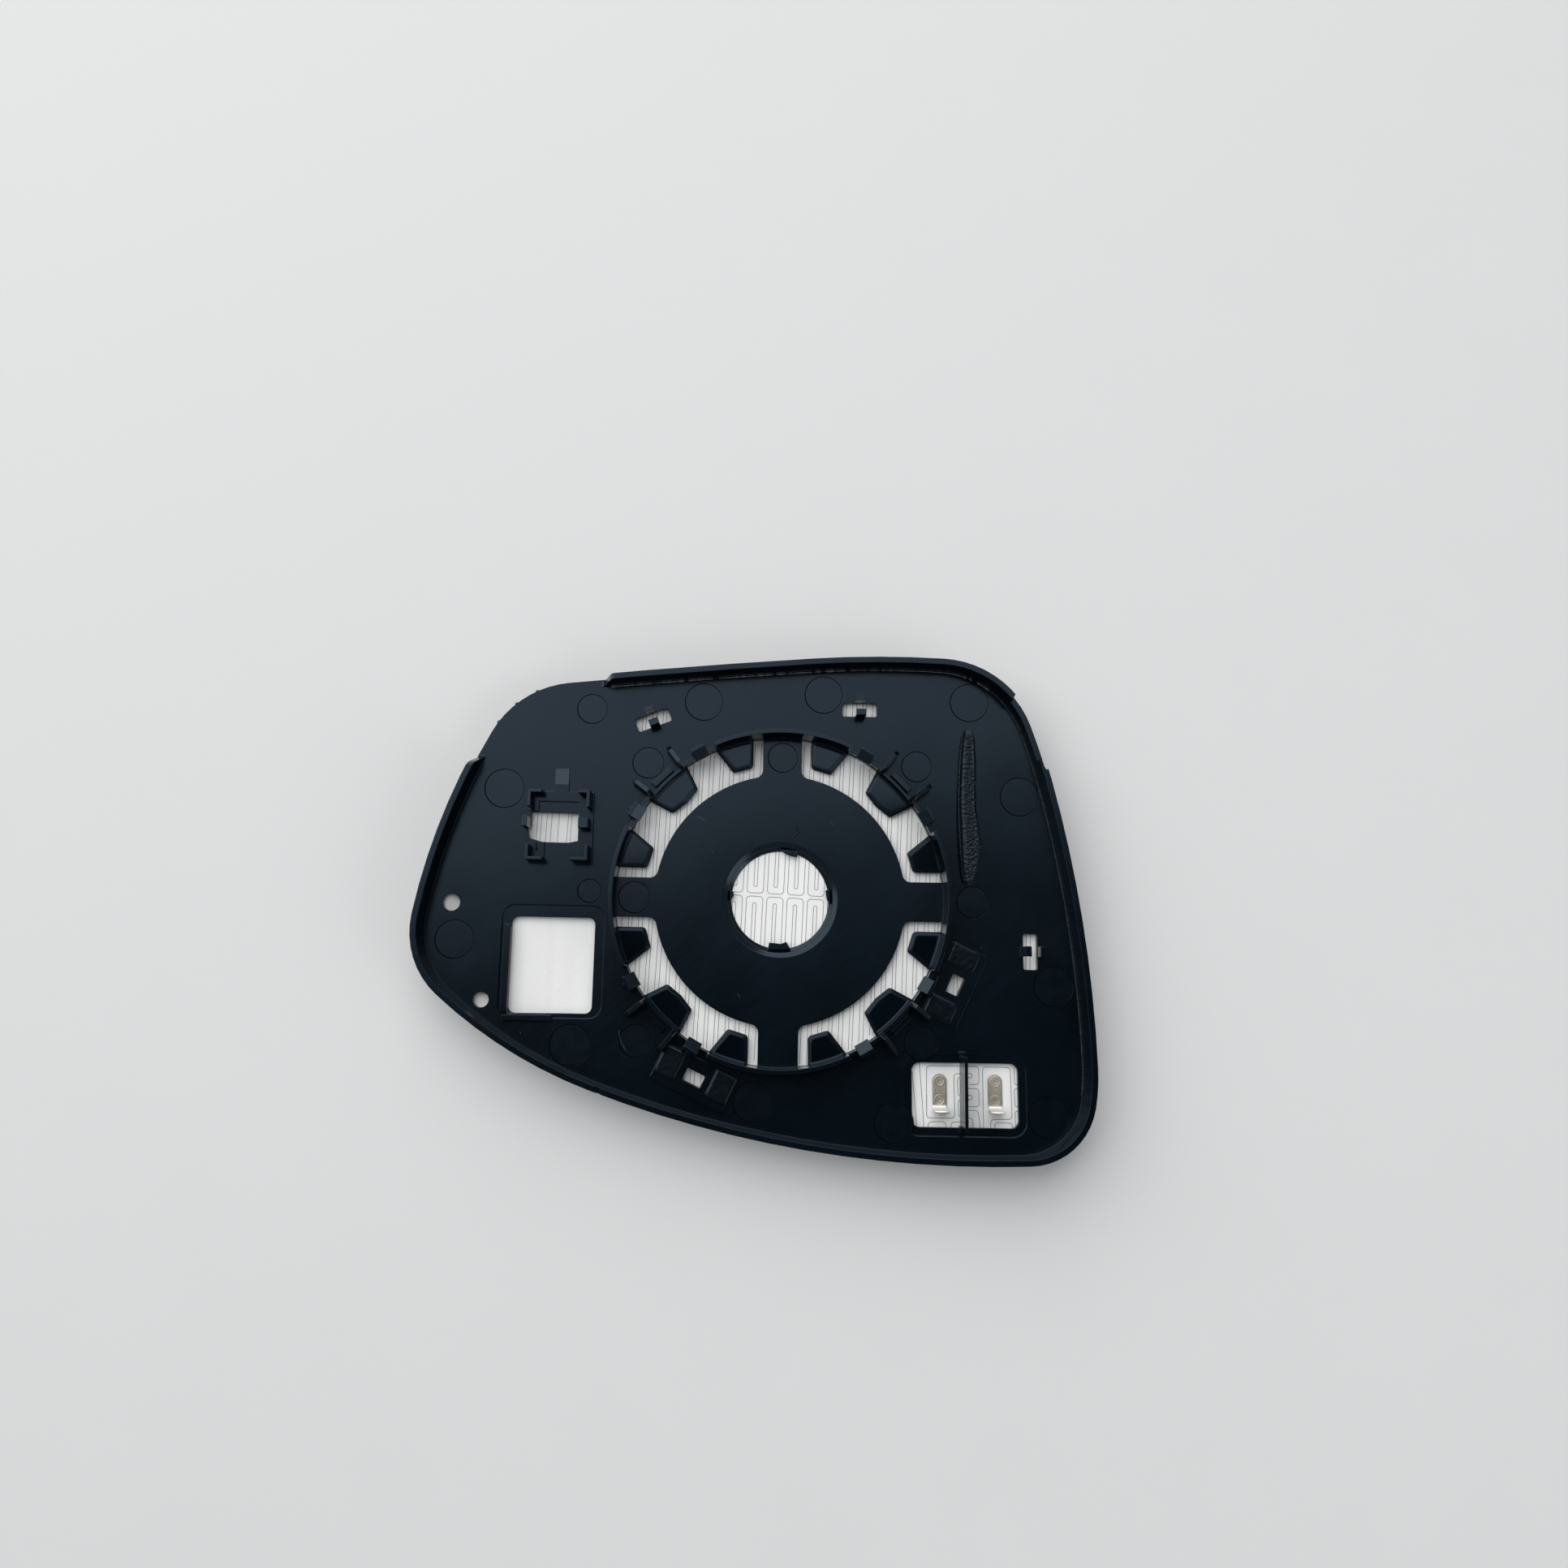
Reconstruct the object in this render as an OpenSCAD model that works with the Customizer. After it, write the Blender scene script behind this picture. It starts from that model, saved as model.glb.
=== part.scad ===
// Heated door mirror glass seen from its back: a convex glass, the heater film
// behind it with two spade terminals, and the black moulding that clips the
// whole piece to the adjuster. It lies with its glass down on z = 0.

/* [Layers] */
// Radius of the convex mirror surface
mirror_r = 1300; // [1000:10:1600]
// Thickness of the glass
glass_t = 2; // [1.6:0.1:3]
// Thickness of the heater film with its adhesive
film_t = 0.4; // [0.2:0.05:0.8]
// Thickness of the moulded plate behind the film
plate_t = 2; // [1.6:0.1:3]

/* [Outline] */
// Turning point of the outline below the right-hand side, as x
rim_start_x = 89; // [80:0.5:98]
// Turning point of the outline below the right-hand side, as y
rim_start_y = -57.43; // [-65:0.5:-50]
// Outline radius low on the right-hand side
right_low_r = 52.1; // [40:0.5:70]
// Outline radius high on the right-hand side
right_high_r = 180.9; // [140:1:220]
// Radius of the upper right corner
corner_ur_r = 29.8; // [24:0.2:36]
// Outline radius where the top edge starts
top_in_r = 303; // [200:5:400]
// Outline radius of the nearly straight top edge
top_r = 1540.8; // [900:10:2000]
// Radius of the upper left corner, which has no skirt
corner_ul_r = 29.1; // [24:0.2:36]
// Outline radius of the left-hand side
left_r = 174.8; // [140:1:220]
// Radius of the pointed lower left corner
corner_ll_r = 25.1; // [20:0.2:32]
// Outline radius where the bottom edge starts
bottom_in_r = 134.9; // [100:1:180]
// Radius of the lower right corner
corner_lr_r = 20.1; // [16:0.2:26]
// Largest gap between the outline's curve and its facets
rim_sag = 0.05; // [0.02:0.01:0.1]

/* [Rim] */
// Height of the skirt above the plate
skirt_h = 8.5; // [6:0.5:11]
// Thickness of the skirt
skirt_t = 1.7; // [1.2:0.1:2.4]
// How far the skirt stands in from the outline
skirt_in = 0.4; // [0.2:0.1:1]
// Height of the lower stretch of skirt on the right
low_skirt_h = 5.2; // [3:0.2:7]
// How far the lip in front stands in from the outline
lip_in = 0.9; // [0.5:0.1:1.5]
// Width of the lip round the glass
lip_w = 1.8; // [1.2:0.1:2.5]
// How far the lip stands proud of the glass
lip_h = 0.8; // [0.2:0.1:1.2]
// Gap between the lip and the edge of the glass
glass_gap = 0.4; // [0.2:0.05:0.8]
// How far the film stops short of the edge of the glass
film_in = 0.6; // [0.3:0.1:2]

/* [Clip ring] */
// Inside radius of the clip ring
ring_r = 48.3; // [44:0.1:54]
// Thickness of the ring wall
ring_t = 1.2; // [0.9:0.1:1.8]
// Height of the ring above the plate
ring_h = 8.5; // [6:0.5:11]
// Height of the low stretches of ring beside the hooks
low_ring_h = 3; // [1.5:0.5:5]
// Half angle of each tall stretch of ring
ring_half_a = 24.4; // [20:0.2:27]
// Radius of the disc inside the ring windows
disc_r = 37; // [33:0.5:41]
// Width of each arm between disc and ring
arm_w = 11.6; // [8:0.2:16]
// Fillet where an arm meets the disc
arm_fillet = 2.4; // [1:0.1:4]
// Radius on which the tongues end
tongue_r = 40; // [38:0.1:43]
// Gap between an arm and the tongue beside it
tongue_gap = 2.9; // [2:0.1:4]
// Angle of a small tongue's far inner corner from its arm
tongue_a = 21.2; // [18:0.2:23]
// Half angle of a large tongue at its inner end
big_tongue_a = 7.3; // [5:0.1:8]
// Width of the step round the free edges of a tongue
tongue_edge = 0.5; // [0.2:0.05:0.9]
// Depth of that step
tongue_step = 0.4; // [0.1:0.05:0.9]
// Angle of each hook block from the diagonal
hook_a = 15; // [12:0.5:17]
// Width of a hook block
hook_w = 4.3; // [3:0.1:6]
// How far a hook block reaches into the ring
hook_reach = 1.5; // [0.8:0.1:2.5]
// Angle of each wing from the diagonal
wing_a = 7.2; // [6:0.1:8]
// Thickness of a wing
wing_t = 1.3; // [0.9:0.1:2]
// Length of a wing outside the ring
wing_l = 5.8; // [4:0.1:8]
// Thickness of the low wall between two wings
curb_t = 0.9; // [0.6:0.1:1.2]
// How far that wall stands in from the ring's inside
curb_in = 0.5; // [0.2:0.1:0.8]
// Width of the ledge outside that wall
bar_t = 1.8; // [1:0.1:2.2]
// Length of the ledge
bar_l = 7.2; // [5:0.1:9]
// Height of the ledge above the plate
bar_h = 1.8; // [1:0.1:3]
// Gap between the ledge and the low wall
bar_gap = 0.7; // [0.4:0.1:1.4]

/* [Centre hole] */
// Radius of the centre hole
hole_r = 14.4; // [11:0.1:18]
// Width of the outer bevel of the centre hole
hole_bevel = 1.4; // [0.8:0.1:2.5]
// Width of the inner bevel of the centre hole
hole_seat = 1.1; // [0.6:0.1:2]

/* [Windows] */
// Width of the plain window
plain_w = 23.9; // [18:0.1:28]
// Height of the plain window
plain_l = 27.5; // [20:0.1:32]
// Width of the terminal window
term_w = 30.5; // [26:0.1:34]
// Height of the terminal window
term_l = 18; // [15:0.1:22]
// Width of the recessed border round both windows
border_w = 2.2; // [1:0.1:3.5]
// Depth of the recessed border
border_d = 0.5; // [0.2:0.1:1]
// Height of the divider between the terminals
divider_h = 8; // [5:0.5:10]
// Thickness of the divider
divider_t = 0.9; // [0.7:0.1:1.5]
// Length of a clip slot
slot_l = 10.4; // [8:0.2:13]
// Width of a clip slot
slot_w = 4.1; // [3:0.1:5]
// Width of the hook beside a clip slot
catch_w = 2.9; // [2:0.1:4]
// Height of the tall hook at a clip slot
catch_h = 6.5; // [4:0.5:9]
// Radius of the upper drain hole
drain_a_r = 2.45; // [1.5:0.05:3.5]
// Radius of the lower drain hole
drain_b_r = 2.2; // [1.5:0.05:3.5]

/* [Pads and holder] */
// Distance from ring centre to the middle of each pad
pad_r = 56.7; // [55:0.1:60]
// Length of a pad round the ring
pad_l = 22.8; // [18:0.2:26]
// Width of a pad
pad_w = 10.9; // [9:0.1:12]
// Height of a pad above the plate
pad_h = 0.7; // [0.3:0.1:1.5]
// Height of the rough patches on a pad
patch_h = 0.5; // [0.2:0.1:1]
// Height of the corner brackets of the cable holder
bracket_h = 7.5; // [5:0.5:9]
// Thickness of the corner brackets
bracket_t = 0.9; // [0.6:0.1:1.5]
// Width of the cable holder between the brackets' outsides
holder_w = 17.9; // [15:0.1:21]
// Height of the cable holder between the brackets' outsides
holder_l = 20.5; // [17:0.1:24]
// Height of the step that the brackets stand on
step_h = 0.5; // [0.2:0.1:1.2]

/* [Terminals and sealant] */
// Width of a spade terminal
blade_w = 4.1; // [3.5:0.1:6.3]
// Thickness of a spade terminal
blade_t = 0.5; // [0.4:0.05:0.8]
// Length of a terminal's foot on the film
blade_l = 10; // [8:0.1:13]
// Height of a terminal's upright end
blade_h = 6.5; // [4:0.5:9]
// Distance from one terminal to the other
blade_pitch = 16; // [12:0.1:20]
// Width of the strip of sealant
bead_w = 6.4; // [4:0.1:9]
// Length of the strip of sealant
bead_l = 46.5; // [35:0.5:55]
// Thickness of the strip of sealant
bead_t = 0.9; // [0.4:0.1:1.5]

/* [Hidden] */
tall = 40;

film_z = glass_t;
plate_z = film_z + film_t;
back_z = plate_z + plate_t;
root_z = plate_z + plate_t * 0.4;
mark_d = 0.12;
foot_gap = 0.02;

function rise(r) = mirror_r - sqrt(mirror_r * mirror_r - r * r);
function dir(a) = [cos(a), sin(a)];
function unit(v) = v / norm(v);
function turn(v, a) = [v.x * cos(a) - v.y * sin(a), v.x * sin(a) + v.y * cos(a)];

// The outline is a closed chain of tangent arcs. Each arc runs between two
// directions of its outward normal. The two free radii close the chain.
rim_a = [-11.4, 0.8, 14.6, 20.2, 87.3, 94.7, 97.4, 152.2, 171.1, 228.6, 250.1, 272.5, 348.6];
rim_given = [right_low_r, 0, right_high_r, corner_ur_r, top_in_r, top_r, corner_ul_r, left_r,
             corner_ll_r, bottom_in_r, 0, corner_lr_r];
side_i = 1;
base_i = 10;
function span_of(i) = dir(rim_a[i + 1]) - dir(rim_a[i]);
function miss(i = 0) =
    i == len(rim_given) ? [0, 0] : rim_given[i] * span_of(i) + miss(i + 1);
rim_miss = miss();
side_v = span_of(side_i);
base_v = span_of(base_i);
side_r = (base_v.x * rim_miss.y - base_v.y * rim_miss.x) / cross(side_v, base_v);
base_r = (side_v.y * rim_miss.x - side_v.x * rim_miss.y) / cross(side_v, base_v);
rim_r = [for (i = [0:len(rim_given) - 1])
    i == side_i ? side_r : i == base_i ? base_r : rim_given[i]];
function rim_c(i) =
    i == 0 ? [rim_start_x, rim_start_y] - rim_r[0] * dir(rim_a[0])
    : rim_c(i - 1) + (rim_r[i - 1] - rim_r[i]) * dir(rim_a[i]);
function rim_steps(i) =
    ceil((rim_a[i + 1] - rim_a[i]) / (2 * acos(1 - rim_sag / rim_r[i])));
function rim_pts(inset) = [for (i = [0:len(rim_r) - 1])
    let (c = rim_c(i), n = rim_steps(i))
    for (k = [0:n - 1])
        c + (rim_r[i] - inset) * dir(rim_a[i] + (rim_a[i + 1] - rim_a[i]) * k / n)];
rim_x = [for (p = rim_pts(0)) p.x];
rim_y = [for (p = rim_pts(0)) p.y];
middle = [(min(rim_x) + max(rim_x)) / 2, (min(rim_y) + max(rim_y)) / 2];

// A corner q between p and s, rounded to radius r.
function corner(p, q, s, r, n = 5) =
    let (a = unit(p - q), b = unit(s - q), half = acos(a * b) / 2,
         c = q + unit(a + b) * r / sin(half), from = q + a * r / tan(half) - c,
         sweep = (cross(q - p, s - q) > 0 ? 1 : -1) * (180 - 2 * half))
    [for (k = [0:n]) c + turn(from, sweep * k / n)];
function rounded(pts, r) = [for (i = [0:len(pts) - 1])
    each corner(pts[(i + len(pts) - 1) % len(pts)], pts[i], pts[(i + 1) % len(pts)], r)];

module soft_box(w, l, r) {
    polygon(rounded([[-w / 2, -l / 2], [w / 2, -l / 2], [w / 2, l / 2], [-w / 2, l / 2]], r));
}

module rim(inset) {
    polygon(rim_pts(inset));
}

module rim_band(inset, w) {
    difference() {
        rim(inset);
        rim(inset + w);
    }
}

// All space on the back side of the curved surface at level z.
module behind(z) {
    translate([0, 0, mirror_r])
        rotate([90, 0, 0])
            sphere(r = mirror_r - z, $fn = 360);
}

// A drawn shape made solid between two curved levels.
module layer(from, to) {
    difference() {
        intersection() {
            translate([0, 0, -5])
                linear_extrude(tall)
                    children();
            behind(from);
        }
        behind(to);
    }
}

module wedge(a, b) {
    polygon([[0, 0], 70 * dir(a), 70 * dir((a + b) / 2), 70 * dir(b)]);
}

module quarters() {
    for (q = [0:3])
        rotate(90 * q)
            children();
}

module ring_arc(r, t, a, b) {
    intersection() {
        difference() {
            circle(r = r + t, $fn = 180);
            circle(r = r, $fn = 180);
        }
        wedge(a, b);
    }
}

module ring_window() {
    h = arm_w / 2;
    cx = sqrt(pow(disc_r + arm_fillet, 2) - pow(h + arm_fillet, 2));
    a = atan2(h + arm_fillet, cx);
    lower = [for (k = [0:5])
        [cx, h + arm_fillet] + arm_fillet * dir(270 - (90 - a) * k / 5)];
    far = ring_r + 5;
    intersection() {
        circle(r = ring_r - 0.1, $fn = 180);
        polygon(concat(
            [[far, h]], lower,
            [for (k = [1:23]) disc_r * dir(a + (90 - 2 * a) * k / 24)],
            [for (k = [5:-1:0]) [lower[k].y, lower[k].x]],
            [[h, far], [far, far]]));
    }
}

// Angle that an edge at radius r turns by when it moves in by d.
function inward(d, r) = atan2(d, r);

module small_tongue(inset) {
    root = ring_r + ring_t / 2;
    end = tongue_r + inset;
    y = arm_w / 2 + tongue_gap + inset;
    far = ring_half_a - 1.2 * inward(inset, root);
    inner = [sqrt(end * end - y * y) + 0.3, y];
    tip = (end + 0.3) * dir(tongue_a - 1.2 * inward(inset, end));
    polygon(concat(
        [[sqrt(root * root - y * y), y], root * dir(far)],
        corner(root * dir(far), tip, inner, 1),
        corner(tip, inner, [root, y], 1.3)));
}

module big_tongue(inset) {
    root = ring_r + ring_t / 2;
    end = tongue_r + inset;
    near_a = big_tongue_a - inward(inset, end);
    wide = big_tongue_a + 1.75 - inward(inset, root);
    left = (end + 0.9) * dir(45 + near_a);
    right = (end + 0.9) * dir(45 - near_a);
    mid = end * dir(45);
    polygon(concat(
        [root * dir(45 - wide), root * dir(45 + wide)],
        corner(root * dir(45 + wide), left, mid, 1),
        [mid],
        corner(mid, right, root * dir(45 - wide), 1)));
}

module tongues(inset = 0) {
    quarters() {
        small_tongue(inset);
        mirror([1, -1])
            small_tongue(inset);
        big_tongue(inset);
    }
}

module plain_place() {
    translate([-65.85, -20.05])
        children();
}

module term_place() {
    translate([53.95, -55.2])
        children();
}

// Middle of each clip slot, as x, y and angle.
slots = [[-38.95, 52.9, 21.7], [23, 57.4, 0], [73.45, -14.1, -90]];

// Puts children at each slot, lifted with the curve of the plate if asked.
module slot_places(lift = 0) {
    for (s = slots)
        translate([s.x, s.y, lift * rise(norm([s.x, s.y]))])
            rotate(s.z)
                children();
}

module pad_places() {
    for (a = [-25, -115])
        rotate(a)
            translate([pad_r, 0])
                children();
}

module holder_window() {
    polygon(rounded([[-73.6, 24.3], [-73.6, 19.9], [-74.7, 19.7], [-73.9, 16.6],
                     [-70, 15.5], [-62.5, 15.5], [-58.6, 16.4], [-57.5, 19], [-58.8, 20.2],
                     [-57.6, 21], [-57.6, 24.3]], 0.5));
}

module plate_shape() {
    difference() {
        rim(0);
        quarters()
            ring_window();
        circle(r = hole_r, $fn = 120);
        plain_place()
            soft_box(plain_w, plain_l, 2);
        term_place()
            soft_box(term_w, term_l, 2.2);
        slot_places()
            soft_box(slot_l, slot_w, 0.6);
        pad_places()
            soft_box(3.6, 5.6, 0.3);
        holder_window();
        translate([-95.2, -2.6])
            circle(r = drain_a_r, $fn = 48);
        translate([-85.3, -30.2])
            circle(r = drain_b_r, $fn = 48);
    }
    tongues();
}

// Round ejector marks, as x, y and radius.
marks = [[-57.1, 55.7, 4.4], [-23.9, 58.8, 5.6], [12.1, 61.8, 5.6], [56.1, 60.1, 5.7],
         [-40, 39.9, 4.6], [0.1, 42.4, 4.4], [40.3, 40.4, 4.5], [-81.8, 31.1, 5.7],
         [71, 31.7, 5.7], [-55.9, 1.5, 3.4], [-42.8, -0.1, 4.6], [56.8, 0.2, 4.6],
         [-93.7, -13.2, 5.5], [-59.5, -42.6, 5.8], [-41, -41.2, 4.6], [41.3, -40.7, 4.8],
         [80, -24, 5.7], [-6.8, -57.9, 5.7], [33.5, -63.1, 5.7], [77.6, -61, 5.8]];

module plate_cuts() {
    translate([0, 0, back_z]) {
        rotate_extrude($fn = 120)
            polygon([[0, -plate_t * 0.8], [hole_r, -plate_t * 0.8],
                     [hole_r + hole_seat, -plate_t * 0.4],
                     [hole_r + hole_seat, rise(hole_r) - plate_t * 0.35],
                     [hole_r + hole_seat + hole_bevel, rise(hole_r + hole_seat + hole_bevel)],
                     [hole_r + hole_seat + hole_bevel, 2], [0, 2]]);
    }
    layer(back_z - border_d, back_z + 1) {
        plain_place()
            translate([0, 1.05])
                soft_box(plain_w + 2.5 * border_w, plain_l + 2.2 * border_w, 3.6);
        term_place()
            soft_box(term_w + 2 * border_w, term_l + 2.2 * border_w, 4.2);
    }
    layer(back_z - tongue_step, back_z + 1)
        difference() {
            tongues();
            tongues(tongue_edge);
            difference() {
                circle(r = ring_r + 5, $fn = 180);
                circle(r = ring_r - 0.1, $fn = 180);
            }
        }
    layer(back_z - mark_d, back_z + 1)
        for (m = marks)
            translate([m.x, m.y])
                circle(r = m.z, $fn = 64);
}

// Cuts the skirt away round the upper left corner, with a ramp at each end.
module skirt_gap() {
    ramp = 4.5;
    top_x = -54.5;
    left_y = 41;
    top_z = back_z + rise(norm([top_x, 63]));
    left_z = back_z + rise(norm([-86, left_y]));
    n = 8;
    translate([0, 90, 0])
        rotate([90, 0, 0])
            linear_extrude(45)
                polygon(concat(
                    [[-82, 0], [-82, tall], [top_x + ramp, tall]],
                    [for (k = [n:-1:0]) [top_x + ramp * k / n,
                        top_z + skirt_h * (1 - cos(180 * k / n)) / 2]],
                    [[top_x, 0]]));
    translate([-100, 0, 0])
        rotate([90, 0, 90])
            linear_extrude(19)
                polygon(concat(
                    [[60, 0], [60, tall], [left_y - ramp, tall]],
                    [for (k = [n:-1:0]) [left_y - ramp * k / n,
                        left_z + skirt_h * (1 - cos(180 * k / n)) / 2]],
                    [[left_y, 0]]));
}

module skirt() {
    difference() {
        layer(root_z, back_z + skirt_h)
            rim_band(skirt_in, skirt_t);
        skirt_gap();
        layer(back_z + low_skirt_h, tall)
            polygon([[69.2, 63.3], [74, 66], [84, 41.2], [77, 38.6], [66, 56]]);
        layer(back_z + skirt_h - 1, tall)
            polygon([[-50.6, -50], [-50.6, -60], [-49.4, -60], [-49.4, -50]]);
    }
}

// Lip round the glass, in three steps.
module lip() {
    layer(glass_t * 0.6, root_z)
        rim_band(0, lip_in + lip_w);
    layer(-lip_h * 0.6, glass_t)
        rim_band(lip_in, lip_w);
    layer(-lip_h, 0)
        rim_band(lip_in + lip_w * 0.2, lip_w * 0.6);
}

ring_foot = back_z + rise(ring_r);
ring_top = ring_foot + ring_h;
ring_root = ring_foot - plate_t / 2;

module hook_block() {
    rotate([90, 0, 0])
        translate([0, 0, -hook_w / 2])
            linear_extrude(hook_w)
                polygon([[ring_r + 0.1, ring_root], [ring_r + 2.2, ring_root],
                         [ring_r + 2.2, ring_top], [ring_r + 1.3, ring_top],
                         [ring_r - hook_reach, ring_top - 1.8],
                         [ring_r - hook_reach, ring_top - 3.4],
                         [ring_r + 0.1, ring_top - 4.6]]);
    translate([ring_r + 2.1, -0.6, ring_root])
        cube([1.1, 1.2, ring_h - 1.5]);
}

module wing() {
    rotate([90, 0, 0])
        translate([0, 0, -wing_t / 2])
            linear_extrude(wing_t)
                polygon([[ring_r - 0.3, ring_root], [ring_r + wing_l + ring_t, ring_root],
                         [ring_r + wing_l + ring_t, ring_top - 2.2],
                         [ring_r + wing_l, ring_top - 1.2],
                         [ring_r + 1.2, ring_top - 0.1],
                         [ring_r - 0.3, ring_foot + low_ring_h + 0.2]]);
}

module ring() {
    translate([0, 0, ring_root]) {
        linear_extrude(ring_top - ring_root)
            quarters() {
                ring_arc(ring_r, ring_t, -ring_half_a, ring_half_a);
            }
        linear_extrude(ring_foot + low_ring_h - ring_root)
            quarters() {
                ring_arc(ring_r + 0.05, ring_t - 0.1, ring_half_a - 0.5, 45 - wing_a);
                ring_arc(ring_r + 0.05, ring_t - 0.1, 45 + wing_a, 90.5 - ring_half_a);
                ring_arc(ring_r - curb_in, curb_t, 44 - wing_a, 46 + wing_a);
            }
    }
    quarters() {
        for (s = [-1, 1]) {
            rotate(45 + s * hook_a)
                hook_block();
            rotate(45 + s * wing_a)
                wing();
        }
        rotate(45)
            translate([ring_r - curb_in + curb_t + bar_gap, -bar_l / 2, ring_root])
                cube([bar_t, bar_l, ring_foot + bar_h - ring_root]);
    }
}

// Tall hook on one side of a slot and a low stop on the other.
module catches() {
    foot = -slot_w / 2;
    slot_places(1) {
        rotate([90, 0, 90])
            translate([0, 0, -catch_w / 2])
                linear_extrude(catch_w)
                    polygon([[foot - 0.8, root_z], [foot - 0.1, root_z],
                             [foot - 0.1, back_z + catch_h - 3], [foot + 1.1, back_z + catch_h - 2],
                             [foot + 1.1, back_z + catch_h - 0.4],
                             [foot + 0.7, back_z + catch_h], [foot - 0.8, back_z + catch_h]]);
        translate([-catch_w / 2, slot_w / 2 + 0.1, root_z])
            cube([catch_w, 1.6, plate_t * 0.6 + catch_h * 0.6]);
    }
}

module pads() {
    layer(root_z, back_z + pad_h)
        pad_places()
            difference() {
                soft_box(pad_w, pad_l, 0.8);
                soft_box(3.7, 5.7, 0.3);
            }
    layer(back_z + 0.2, back_z + pad_h + patch_h)
        pad_places()
            for (s = [-1, 1])
                translate([-1.1, s * (pad_l / 2 - 3.3)])
                    soft_box(pad_w - 2.4, 6.3, 1);
}

holder_at = [-64.85, 19.95];
holder_root = root_z + rise(norm(holder_at));
holder_z = back_z + rise(norm(holder_at));

module bracket(sx, sy, lx, ly) {
    translate([holder_at.x + sx * holder_w / 2, holder_at.y + sy * holder_l / 2, holder_root])
        mirror([sx > 0 ? 1 : 0, 0, 0])
            mirror([0, sy > 0 ? 1 : 0, 0]) {
                cube([lx, bracket_t, holder_z + bracket_h - holder_root]);
                cube([bracket_t, ly, holder_z + bracket_h - holder_root]);
            }
}

// Raised step round the window of the holder. A tongue of it runs up the plate,
// a groove parts its lower left corner, and the middle stays at plate level.
module holder_step() {
    w = holder_w / 2 + 0.4;
    l = holder_l / 2 + 0.4;
    translate(holder_at)
        difference() {
            union() {
                polygon([[-w, 4.6], [-6.6, 4.6], [-6.6, 7.6], [5, 7.6], [5, -l], [w, -l],
                         [w, l], [1.9, l], [1.7, 17.5], [-2.2, 17.3], [-2.4, l], [-w, l]]);
                polygon([[-w, -l], [-4.6, -l], [-4.6, -4.4], [-w, -4.4]]);
            }
            translate([-7, -7.3])
                square([0.4, 3]);
        }
}

module holder() {
    bracket(-1, 1, 4, 5);
    bracket(1, 1, 3.4, 5);
    bracket(-1, -1, 4.9, 4.5);
    bracket(1, -1, 5, 4.5);
    layer(root_z, back_z + step_h)
        holder_step();
    translate([-75.2, 19.4, holder_root])
        cube([1.5, 3.1, holder_z + bracket_h - 0.4 - holder_root]);
    translate([-57.4, 19.3, holder_root])
        cube([1.1, 3, holder_z + 6 - holder_root]);
    translate([-59.2, 19.3, holder_z + 3.6])
        cube([2.2, 3, 2.2]);
}

divider_at = [52.95, -54.3];
divider_root = root_z + 0.5 + rise(norm(divider_at));

module window_ribs() {
    layer(root_z, back_z + 1.2)
        translate([-79.7, -33.6])
            square([1.6, 25]);
    layer(root_z, back_z + 1.6)
        translate([-78.8, -35.9])
            square([13.8, 1.6]);
    translate([divider_at.x - divider_t / 2, divider_at.y - term_l / 2 - 1.2, divider_root])
        cube([divider_t, term_l + 2.4, divider_h + 0.5]);
    for (s = [-1, 1])
        translate([divider_at.x, divider_at.y + s * (term_l / 2 + 1.3), divider_root + 1.4])
            cube([divider_t + 0.8, 2, 2.8], center = true);
}

// Torn remains of the four gates round the centre hole.
module gate_stubs() {
    layer(plate_z + 0.5, back_z - 0.5) {
        polygon([[-0.2, hole_r + 0.5], [1.4, 13.6], [3, 13], [4.8, 12.7], [5.3, hole_r]]);
        polygon([[-3.4, -hole_r - 0.3], [-3, -12.6], [-1.6, -12.7], [0.4, -12.9],
                 [2, -12.3], [3.3, -hole_r]]);
        polygon([[-hole_r - 0.4, 2.4], [-13.8, 2.2], [-13.7, 0.9], [-hole_r - 0.3, -0.4]]);
        polygon([[hole_r + 0.3, 3.4], [13.4, 3], [13.6, 1.4], [14, 0], [hole_r + 0.3, -0.9]]);
    }
}

// Small burrs of flash on the outline of the corner that has no skirt.
module burrs() {
    layer(root_z, back_z - 0.2)
        for (a = [117, 131, 146])
            translate(rim_c(6) + (corner_ul_r - 0.5) * dir(a))
                rotate(a)
                    polygon([[-0.5, -1.2], [0.9, -0.4], [0.8, 0.3], [-0.5, 1.6]]);
}

module backing_plate() {
    color([0.09, 0.1, 0.12])
        translate([-middle.x, -middle.y, 0]) {
            difference() {
                layer(plate_z, back_z)
                    plate_shape();
                plate_cuts();
            }
            ring();
            catches();
            holder();
            window_ribs();
            skirt();
            pads();
            gate_stubs();
            burrs();
            lip();
        }
}

module mirror_glass() {
    color([0.85, 0.87, 0.9])
        translate([-middle.x, -middle.y, 0])
            layer(0, film_z)
                rim(lip_in + lip_w + glass_gap);
}

module heater_film() {
    color([0.93, 0.93, 0.94])
        translate([-middle.x, -middle.y, 0])
            layer(film_z, plate_z)
                rim(lip_in + lip_w + glass_gap + film_in);
}

// Sets children upright on the curved surface at level z, over the point p.
module on_curve(p, z) {
    a = atan2(p.y, p.x);
    translate([0, 0, mirror_r])
        rotate(a)
            rotate([0, -asin(norm(p) / (mirror_r - z)), 0])
                rotate(-a)
                    translate([0, 0, z - mirror_r])
                        children();
}

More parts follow.
